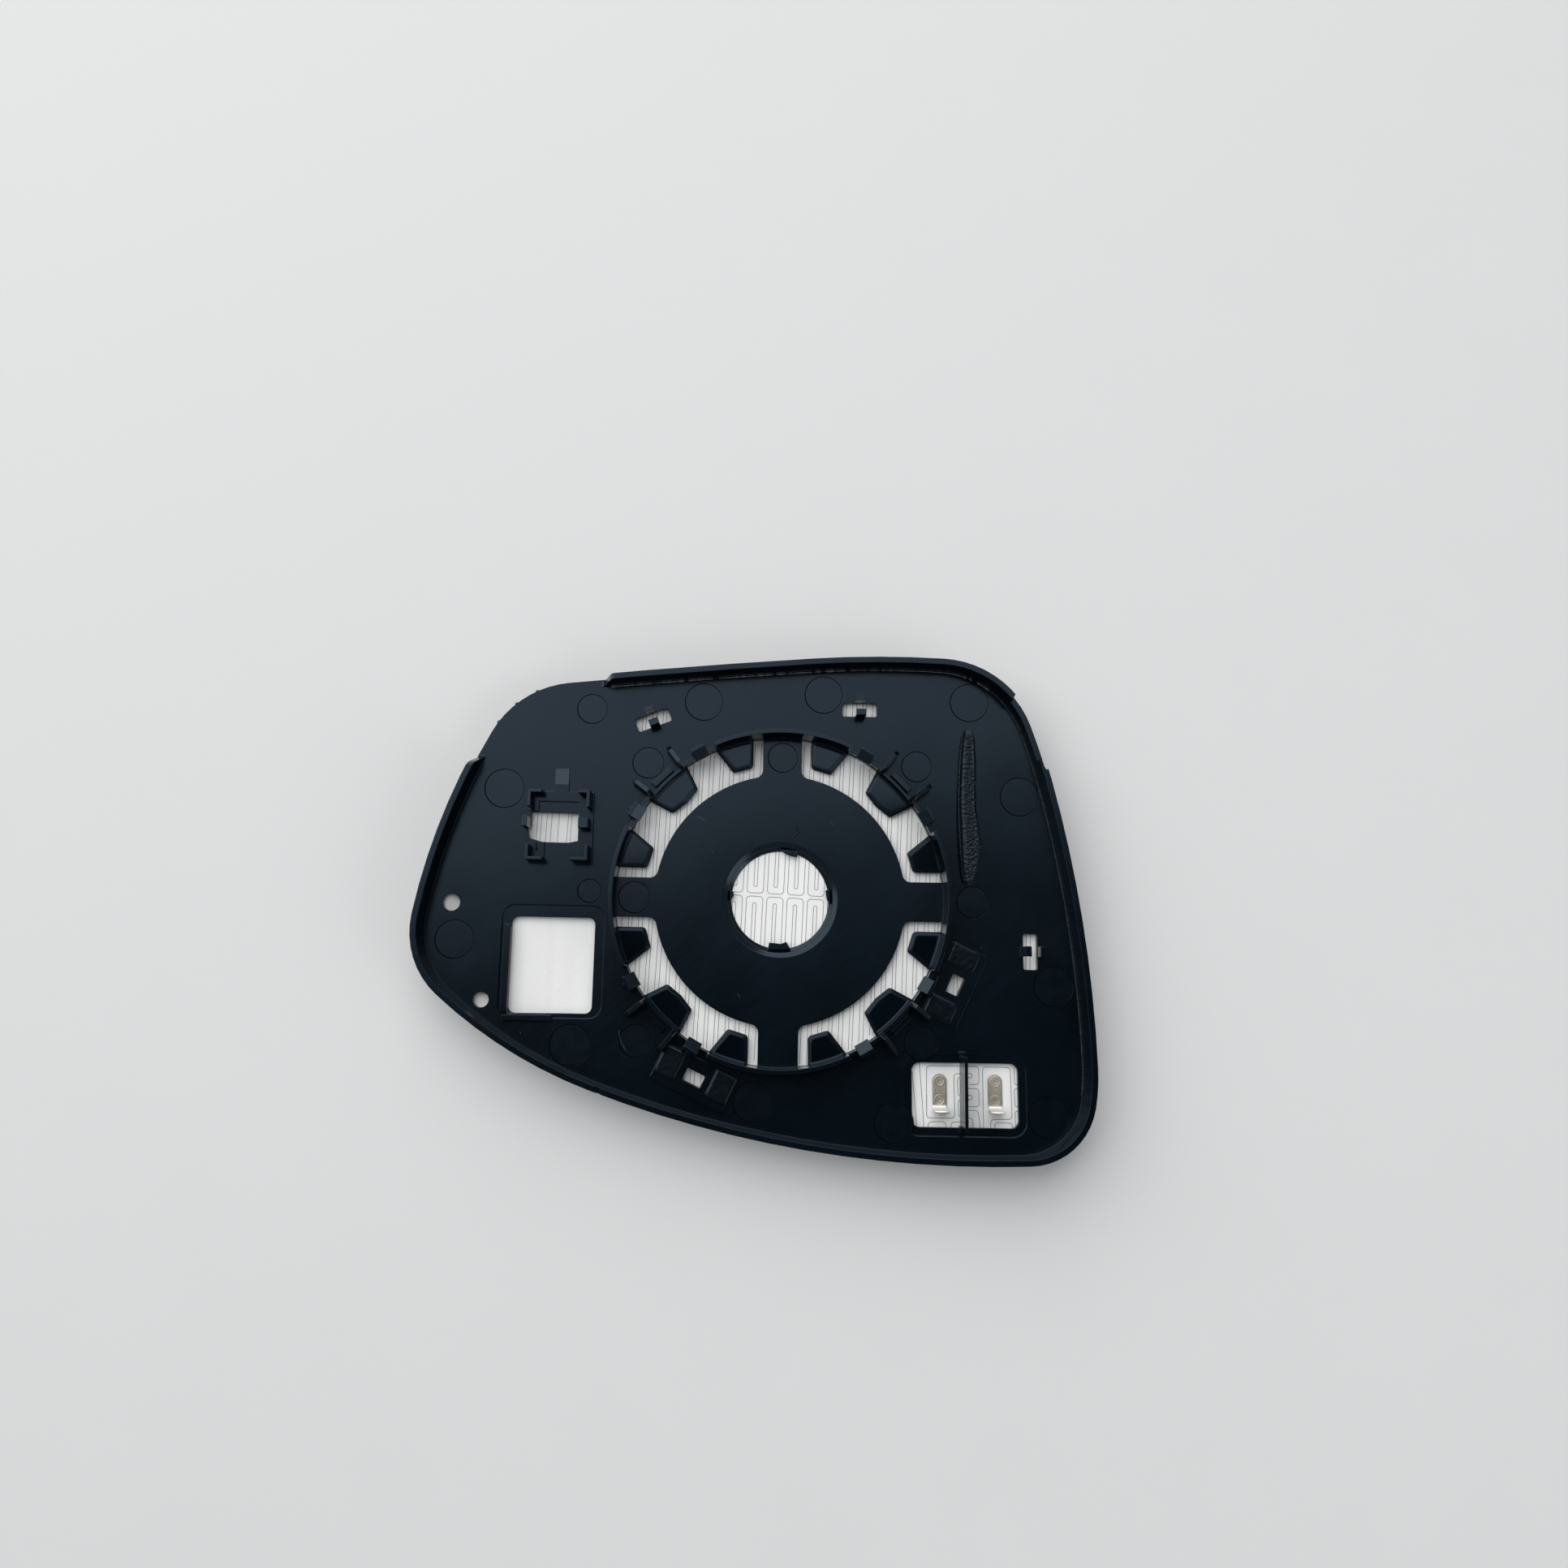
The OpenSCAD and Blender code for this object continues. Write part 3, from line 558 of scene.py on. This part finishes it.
def terminal(name, x0, node):
    ex = Vector((1, 0, x0 / MIRROR_R)).normalized()
    ey = Vector((0, 1, FOOT_Y / MIRROR_R)).normalized()
    ez = ex.cross(ey)
    foot = at(x0, FOOT_Y, FILM + FOOT_GAP)
    verts, faces = [], []
    path = blade_path()
    round_r = BLADE_W / 2
    for y, z, ny, nz in path:
        gone = BLADE_L / 2 - y
        flat = nz == 1.0
        half = round_r
        if gone < round_r and flat:
            half = max(TIP_HALF, math.sqrt(max(0.0, round_r ** 2 - (round_r - gone) ** 2)))
        row = [(-half, 0.0), (half, 0.0)]
        for k in range(ACROSS + 1):
            x = half - 2 * half * k / ACROSS
            inwards = half - abs(x)
            if flat:
                inwards = min(inwards, round_r - math.hypot(x, max(0.0, round_r - gone)))
            drop = EDGE_DROP * max(0.0, 1 - max(0.0, inwards) / EDGE_WIDE) ** 2
            fleck = FLECK * grain_at(x * FLECK_SCALE + x0, y * FLECK_SCALE, z * FLECK_SCALE)
            row.append((x, BLADE_T - drop + (dimple(x, y) if flat else 0.0) + fleck))
        for x, up in row:
            verts.append(foot + (ex * x + ey * (y + ny * up) + ez * (z + nz * up)) * MM)
    n = ACROSS + 3
    for i in range(len(path) - 1):
        for k in range(n):
            a, b = i * n + k, i * n + (k + 1) % n
            faces.append((a, b, b + n, a + n))
    last = (len(path) - 1) * n
    faces += [tuple(range(n))[::-1], tuple(range(last, last + n))]
    ob = piece(name, verts, faces, NICKEL, smooth=True)
    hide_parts(node)


terminal("spade_left", 46.85, "terminal_left")
terminal("spade_right", 62.85, "terminal_right")

# ---------------------------------------------------------------- foot of the skirt
# The outline is made of arcs: the direction of its normal at each joint, and each radius.
# The two radii that FREE names are worked out below, so that the outline closes.
RIM_A = [-11.4, 0.8, 14.6, 20.2, 87.3, 94.7, 97.4, 152.2, 171.1, 228.6, 250.1, 272.5, 348.6]
RIM_R = [52.1, 0, 180.9, 29.8, 303, 1540.8, 29.1, 174.8, 25.1, 134.9, 0, 20.1]
RIM_START = (89.0, -57.43)
FREE = (1, 10)
SEAM_IN = 2.4         # from the outline to the foot of the skirt
SEAM_LIFT = 0.10
SEAM_STEP = 0.3
COARSE, FINE = 0.6, 2.1   # the two noises along a seam, per millimetre
HATCH_STEP, HATCH_W = 0.60, 0.18
# Direction and half length of a tear: a middle value, and how much the noise changes it.
HATCH_TURN = (62, 30)
HATCH_HALF = (0.15, 0.25)
HATCH_NOISE = 0.8
HATCH_LOW = -0.15

spans = [way(b) - way(a) for a, b in zip(RIM_A, RIM_A[1:])]
miss = sum((r * v for r, v in zip(RIM_R, spans)), Vector((0, 0)))
u, v = spans[FREE[0]], spans[FREE[1]]
det = u.x * v.y - u.y * v.x
RIM_R[FREE[0]] = (v.x * miss.y - v.y * miss.x) / det
RIM_R[FREE[1]] = (u.y * miss.x - u.x * miss.y) / det


def skirt_foot(start, stop, step):
    """Points along the foot of the skirt between two directions of the normal."""
    out = []
    centre = Vector(RIM_START) - RIM_R[0] * way(RIM_A[0])
    for i, (a, b) in enumerate(zip(RIM_A, RIM_A[1:])):
        if i:
            centre = centre + (RIM_R[i - 1] - RIM_R[i]) * way(a)
        n = max(1, int(math.radians(b - a) * RIM_R[i] / step))
        for k in range(n):
            d = a + (b - a) * k / n
            if start <= d <= stop:
                out.append(centre + (RIM_R[i] - SEAM_IN) * way(d))
    return out


def seam(name, start, stop, width, material, low, swing):
    """Ragged line along the foot of the skirt; it thins out where the noise is below low."""
    line = skirt_foot(start, stop, SEAM_STEP)
    marks = Strips(BACK + SEAM_LIFT)
    for p, q in zip(line, line[1:]):
        coarse = grain_at(p.x * COARSE, p.y * COARSE, 3.0)
        fine = grain_at(p.x * FINE, p.y * FINE, 8.0)
        wide = width * max(0.12, 1 + swing * coarse + 0.9 * fine)
        marks.line([p, q], wide if coarse > low else 0.25 * wide)
    marks.make(name, material)


seam("flash_top_left", 92.5, 96.95, 0.30, FLASH, -0.32, 1.2)
seam("flash_top", 75, 92.5, 0.20, FLASH, -0.5, 0.7)
seam("worn_seam_corner", 20, 53, 0.26, SEAM, -0.3, 0.8)
seam("worn_seam_right", -9, 20, 0.36, SEAM, -9.0, 0.5)

# Short tears of flash, across the foot of the skirt in its corner.
hatches = Strips(BACK + SEAM_LIFT)
for p in skirt_foot(53, 75, HATCH_STEP):
    n = grain_at(p.x * HATCH_NOISE, p.y * HATCH_NOISE, 9.0)
    if n > HATCH_LOW:
        tear = way(HATCH_TURN[0] + HATCH_TURN[1] * n) * (HATCH_HALF[0] + HATCH_HALF[1] * n)
        hatches.line([p + tear, p - tear], HATCH_W)
hatches.make("flash_hatches", HATCH)


# ---------------------------------------------------------------- sealant
def grid_piece(name, point, height, nu, nv, level, material):
    """Sheet over a (0..1, 0..1) field; its border goes down into what carries it."""
    verts = []
    for j in range(nv + 1):
        for i in range(nu + 1):
            s, t = i / nu, j / nv
            x, y = point(s, t)
            border = i in (0, nu) or j in (0, nv)
            verts.append(at(x, y, level - 0.05 if border else level + height(s, t, x, y)))
    faces = [(a, a + 1, a + nu + 2, a + nu + 1)
             for j in range(nv) for a in range(j * (nu + 1), j * (nu + 1) + nu)]
    return piece(name, verts, faces, material, smooth=True)


def between(table, y):
    """x at this y on a line whose points go downwards."""
    for (x0, y0), (x1, y1) in zip(table, table[1:]):
        if y0 >= y >= y1:
            return x0 + (x1 - x0) * (y0 - y) / (y0 - y1)
    return table[-1][0] if y < table[-1][1] else table[0][0]


BEAD_TOP, BEAD_LENGTH = 51.9, 46.9
BEAD_BODY = 0.34
BEAD_WAVER = 0.16
BEAD_LEAST = 0.03
BEAD_CELLS, BEAD_ROWS = 44, 330
# Height, place across (0 to 1) and width of the ridges and of the groove between them.
BEAD_RIDGES = ((0.42, 0.13, 0.06), (-0.26, 0.27, 0.06), (0.07, 0.87, 0.04))
BEAD_LEFT = [(54.9, 51.9), (54.2, 51.2), (53.3, 48.9), (52.6, 42.1), (52.2, 34.8), (52.1, 29.5),
             (52.1, 24.1), (52.2, 18.8), (52.5, 13.5), (52.9, 9.5), (53.3, 6.8), (54.0, 5.5),
             (54.8, 5.0)]
BEAD_RIGHT = [(56.4, 51.9), (57.0, 51.2), (57.8, 49.3), (58.2, 42.1), (58.2, 34.9), (58.2, 28.5),
              (58.8, 24.9), (59.4, 20.6), (59.5, 17.1), (59.0, 12.8), (58.2, 9.0), (57.3, 6.7),
              (56.5, 5.5), (55.9, 5.0)]


def bead_point(s, t):
    y = BEAD_TOP - BEAD_LENGTH * t
    a, b = between(BEAD_LEFT, y), between(BEAD_RIGHT, y)
    return a + (b - a) * s + BEAD_WAVER * grain_at(y * 1.1, 5.0 * s, 0), y


def bead_height(s, t, x, y):
    """Ridges along a flat body, wrinkled all over, and torn low down beside the groove."""
    body = BEAD_BODY * min(1.0, s / 0.1, (1 - s) / 0.12)
    ridges = sum(up * hump(s, middle, width) for up, middle, width in BEAD_RIDGES)
    wrinkle = 0.08 * grain_at(x, y * 1.4, 1.0) + 0.03 * grain_at(x * 6.0, y * 6.0, 7.0)
    low = min(1.0, max(0.0, (t - 0.60) / 0.08)) * min(1.0, max(0.0, (s - 0.35) / 0.1))
    torn = 0.36 * low * max(0.0, grain_at(x * 1.7, y * 2.4, 12.0))
    fade = min(1.0, t / 0.03, (1 - t) / 0.03)
    return max(BEAD_LEAST, (body + ridges + wrinkle + torn) * fade)


bead = grid_piece("sealant_bead", bead_point, bead_height, BEAD_CELLS, BEAD_ROWS, BACK, SEAL)
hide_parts("sealant_strip")

# ---------------------------------------------------------------- holder and pads
# Sloping top of the cable holder's tab: a low wedge on the raised step, coloured lighter than the
# plastic as painted light on its top.
TAB_X = (-67.1, -63.1)
TAB_RISE = ((32.6, 0.22), (37.3, 0.03))
TAB_ROOT = -0.05
verts = [at(x, y, BACK + STEP_H + up) for y, up in TAB_RISE for x in TAB_X]
verts += [at(x, y, BACK + STEP_H + TAB_ROOT) for y, up in TAB_RISE for x in TAB_X]
piece("holder_tab", verts, [(0, 1, 3, 2), (4, 6, 7, 5), (0, 4, 5, 1), (2, 3, 7, 6),
                            (0, 2, 6, 4), (1, 5, 7, 3)], TAB_PAINTED_LIGHT)

PATCH_L, PATCH_W, PATCH_R = 8.3, 6.1, 1.7
PATCH_RISE, PATCH_WAVE = 0.10, 0.02
PATCH_CELLS, PATCH_ROWS = 56, 42
PATCH_OUT = 55.6      # from the ring's centre to the middle of a patch
PATCH_SIDE = 8.1      # from the middle of the pad


def pad_patch(name, turn, side):
    """Smooth patch near one end of a pad, with round corners on its outer end."""
    c, d = math.cos(math.radians(turn)), math.sin(math.radians(turn))

    def point(s, t):
        far = max(0.0, PATCH_L * s - (PATCH_L - PATCH_R)) / PATCH_R
        half = PATCH_W / 2 - PATCH_R * (1 - math.sqrt(max(0.0, 1 - far * far)))
        x, y = PATCH_OUT + (s - 0.5) * PATCH_L, side * PATCH_SIDE + (2 * t - 1) * half
        return x * c - y * d, x * d + y * c

    def height(s, t, x, y):
        edge = min(1.0, s / 0.05, (1 - s) / 0.05, t / 0.07, (1 - t) / 0.07)
        return edge * (PATCH_RISE + PATCH_WAVE * grain_at(x * 0.8, y * 0.8, 4.0))

    grid_piece(name, point, height, PATCH_CELLS, PATCH_ROWS, BACK + PAD_TOP, ROUGH)


for k, (turn, side) in enumerate(((-25, -1), (-25, 1), (-115, -1), (-115, 1)), 1):
    pad_patch("pad_patch_%d" % k, turn, side)


# ---------------------------------------------------------------- small marks
def tube(name, pts, radius, material, sides=6):
    verts, faces = [], []
    for i, p in enumerate(pts):
        d = (pts[min(i + 1, len(pts) - 1)] - pts[max(i - 1, 0)]).normalized()
        a = d.cross(Vector((0, 0, 1))).normalized()
        b = d.cross(a)
        for k in range(sides):
            w = way(360 * k / sides)
            verts.append(p + (a * w.x + b * w.y) * radius * MM)
    for i in range(len(pts) - 1):
        for k in range(sides):
            q = i * sides + k
            w = i * sides + (k + 1) % sides
            faces.append((q, w, w + sides, q + sides))
    last = (len(pts) - 1) * sides
    faces += [tuple(range(sides))[::-1], tuple(range(last, last + sides))]
    return piece(name, verts, faces, material, smooth=True)


# Thin string of plastic left at the gate: x, y and the height over the plate.
STRING = [(3.3, 13.6, 0.2), (3.4, 15.2, 0.5), (3.9, 17.2, 0.7), (3.4, 18.3, 0.5), (4.6, 19.6, 0.4),
          (5.2, 20.6, 0.35), (4.5, 21.8, 0.3), (4.9, 23.2, 0.2)]
STRING_STEPS, STRING_R = 6, 0.16
pts = [at(x, y, BACK + z) for x, y, z in STRING]
held = [pts[0]] + pts + [pts[-1]]
fine = [spline(*held[i:i + 4], k / STRING_STEPS)
        for i in range(len(pts) - 1) for k in range(STRING_STEPS)]
tube("gate_string", fine + [pts[-1]], STRING_R, SEAL)

# Pale strip along the edge of the plain window, a painted highlight where the edge catches the
# light: its left side and part of its lower one.
SCUFF_LIFT = 0.05
ledge = Strips(BACK + SCUFF_LIFT)
ledge.line([(-77.80, -9.3), (-77.80, -32.2)], 0.46)
ledge.line(fillet([(-77.80, -32.2), (-77.80, -33.90), (-66.5, -33.90)], 1.7), 0.22)
ledge.make("window_edge_highlight", LEDGE_HIGHLIGHT)

# Points and width of each scuff.
SCUFFS = [([(-25.1, 24.3), (-24.6, 23.9), (-24.2, 23.7), (-22.8, 23.2)], 0.09),
          ([(-24.3, 24.2), (-23.9, 23.8)], 0.07), ([(-20.6, 14.2), (-20.1, 13.6)], 0.07),
          ([(-45.6, -38.3), (-45.7, -39.8), (-44.9, -41.9), (-43.5, -44.1)], 0.07),
          ([(-73.8, -39.1), (-73.5, -39.5)], 0.10), ([(59.1, -12.9), (59.5, -13.4)], 0.08),
          ([(14.5, 23.5), (15.6, 22.4)], 0.06), ([(-12.0, -27.5), (-11.2, -28.6)], 0.06)]
scuffs = Strips(BACK + SCUFF_LIFT)
for pts, width in SCUFFS:
    scuffs.line(pts, width)
scuffs.make("scuffs", SCUFF)

# Etched dots on the front of the glass, along the edge of its wide-angle part.
DOTS = [(-41.3, -55.9), (-43.2, -40.2), (-44.1, -24.2), (-44.0, -8.1), (-42.6, 8.2), (-40.4, 24.4),
        (-36.9, 40.7), (-32.4, 56.8)]
DOTS_PER_SPAN = 4
DOT_R = 0.6
DOT_LEVEL = -0.02
pts = [Vector(p) for p in DOTS]
held = [2 * pts[0] - pts[1]] + pts + [2 * pts[-1] - pts[-2]]
last = len(pts) - 2
etched = Strips(DOT_LEVEL)
for k in range(DOTS_PER_SPAN * (last + 1) + 1):
    i = min(last, k // DOTS_PER_SPAN)
    q = spline(*held[i:i + 4], k / DOTS_PER_SPAN - i)
    etched.disc(q.x, q.y, DOT_R, 24)
etched.make("etched_dots", DOT)

# ---------------------------------------------------------------- floor and light, in metres
FLOOR = 3
floor = piece("floor", [(-FLOOR, -FLOOR, 0), (FLOOR, -FLOOR, 0), (FLOOR, FLOOR, 0),
                        (-FLOOR, FLOOR, 0)], [(0, 1, 2, 3)],
              plain("pale_floor", (0.76, 0.76, 0.76), 0.8, 0.2, scale=30, vary=0.01, depth=0.0))

# The sky is darker overhead: its strength falls between two heights of the direction.
SKY_FADE = (0.78, 0.93)
SKY_STRENGTH = (0.34, 0.02)
world = bpy.data.worlds.new("studio")
world.use_nodes = True
bpy.context.scene.world = world
sky = world.node_tree
sky.nodes["Background"].inputs[0].default_value = (0.95, 0.97, 1.0, 1)
direction = sky.nodes.new("ShaderNodeSeparateXYZ")
sky.links.new(sky.nodes.new("ShaderNodeTexCoord").outputs["Generated"], direction.inputs[0])
fade = sky.nodes.new("ShaderNodeMapRange")
sky.links.new(direction.outputs[2], fade.inputs[0])
for k, value in enumerate(SKY_FADE + SKY_STRENGTH, 1):
    fade.inputs[k].default_value = value
sky.links.new(fade.outputs[0], sky.nodes["Background"].inputs[1])


def lamp(name, place, size, power, color=(1, 1, 1)):
    """Area light that looks at the origin."""
    data = bpy.data.lights.new(name, "AREA")
    data.shape = "RECTANGLE"
    data.size, data.size_y = size
    data.energy = power
    data.color = color
    ob = bpy.data.objects.new(name, data)
    bpy.context.scene.collection.objects.link(ob)
    ob.location = place
    ob.rotation_euler = (-Vector(place)).to_track_quat("-Z", "Y").to_euler()


# Main light, from the upper left.
lamp("window_light", (-0.9, 1.3, 1.44), (4.0, 2.6), 65.0, (1.0, 0.995, 0.985))
# Seen by the camera as a soft sheen on the upper part of the plate.
lamp("high_light", (-0.072, 0.289, 1.224), (1.0, 0.37), 1.6, (0.90, 0.95, 1.0))
# Weak light from the lower right, into the shadows.
lamp("fill_light", (0.9, -0.5, 0.6), (0.6, 0.6), 2.0)

bpy.context.scene.view_settings.view_transform = "Standard"
